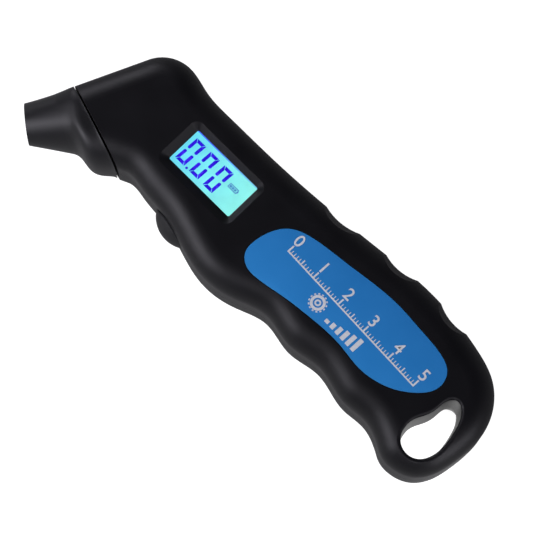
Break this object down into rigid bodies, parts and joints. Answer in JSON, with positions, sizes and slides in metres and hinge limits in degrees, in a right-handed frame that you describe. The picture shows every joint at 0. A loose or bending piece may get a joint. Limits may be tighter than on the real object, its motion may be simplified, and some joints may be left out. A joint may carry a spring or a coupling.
{
  "type": "tire pressure gauge",
  "caption": "Hand-held digital tire pressure gauge with a pistol-shaped handle, lit display, side button and angled valve nozzle.",
  "frame": {"origin": "on the flat rear face, under the centre of the display", "axes": "+X along the handle towards the lanyard hole, +Y towards the thumb side, +Z out of the display"},
  "size_m": [0.1572, 0.049, 0.027],
  "materials": {
    "shell_black": "satin black soft-touch ABS",
    "head_black": "satin black nylon",
    "label_blue": "satin blue inlay",
    "clear_window": "clear polished acrylic",
    "lcd_glass": "lit cyan liquid crystal panel",
    "frame_grey": "moulded dark grey",
    "connector_rubber": "layered silicone connector",
    "diffuser_white": "milky light guide",
    "led_white": "small lamps",
    "board_green": "green solder mask",
    "chip_black": "moulded epoxy",
    "screw_steel": "zinc-plated steel",
    "sensor_white": "white moulded sensor case",
    "hose_silicone": "translucent silicone",
    "button_rubber": "matt dark grey elastomer",
    "plunger_red": "switch plunger",
    "cell_steel": "stainless coin cell",
    "contact_nickel": "nickel-plated spring strip",
    "lead_red": "insulated wire",
    "seal_rubber": "black nitrile",
    "core_brass": "turned brass"
  },
  "bodies": {
    "housing": {"front_shell": "shell_black", "rear_shell": "shell_black", "nozzle_head": "head_black", "label_plate": "label_blue", "display_lens": "clear_window", "lcd_panel": "lcd_glass", "lcd_frame": "frame_grey", "zebra_strip": "connector_rubber", "backlight_diffuser": "diffuser_white", "backlight_leds": "led_white", "circuit_board": "board_green", "controller_chip": "chip_black", "smd_parts": "chip_black", "board_screws": "screw_steel", "pressure_sensor": "sensor_white", "air_hose": "hose_silicone", "hose_clips": "screw_steel", "tact_switch_body": "chip_black", "battery_contact_negative": "contact_nickel", "battery_contact_positive": "contact_nickel", "battery_leads": "lead_red", "shell_screws": "screw_steel", "nozzle_seal": "seal_rubber", "valve_core_body": "core_brass", "core_o_ring": "seal_rubber", "core_nut": "core_brass"},
    "button": {"button_cap": "button_rubber"},
    "switch_plunger": {"tact_plunger": "plunger_red"},
    "door": {"battery_door": "shell_black"},
    "door_screws": {"battery_door_screws": "screw_steel"},
    "cell": {"coin_cell": "cell_steel"}
  },
  "joints": [
    {"name": "button_press", "type": "slide", "parent": "housing", "child": "button", "axis": [0.1908, 0.9816, 0], "range_m": [0, 0.0005], "stiffness_N_per_m": 500, "springref_m": -0.001},
    {"name": "plunger_press", "type": "slide", "parent": "housing", "child": "switch_plunger", "axis": [0.1908, 0.9816, 0], "range_m": [0, 0.0005]},
    {"name": "battery_door_lift", "type": "slide", "parent": "housing", "child": "door", "axis": [0, 0, -1], "range_m": [0, 0.02]},
    {"name": "door_screws_out", "type": "slide", "parent": "door", "child": "door_screws", "axis": [0, 0, -1], "range_m": [0, 0.007]},
    {"name": "coin_cell_lift", "type": "slide", "parent": "housing", "child": "cell", "axis": [0, 0, -1], "range_m": [0, 0.01]}
  ],
  "couplings": [
    {"joint": "plunger_press", "follows": "button_press", "ratio": 1},
    {"joint": "coin_cell_lift", "follows": "battery_door_lift", "ratio": 0.5}
  ]
}
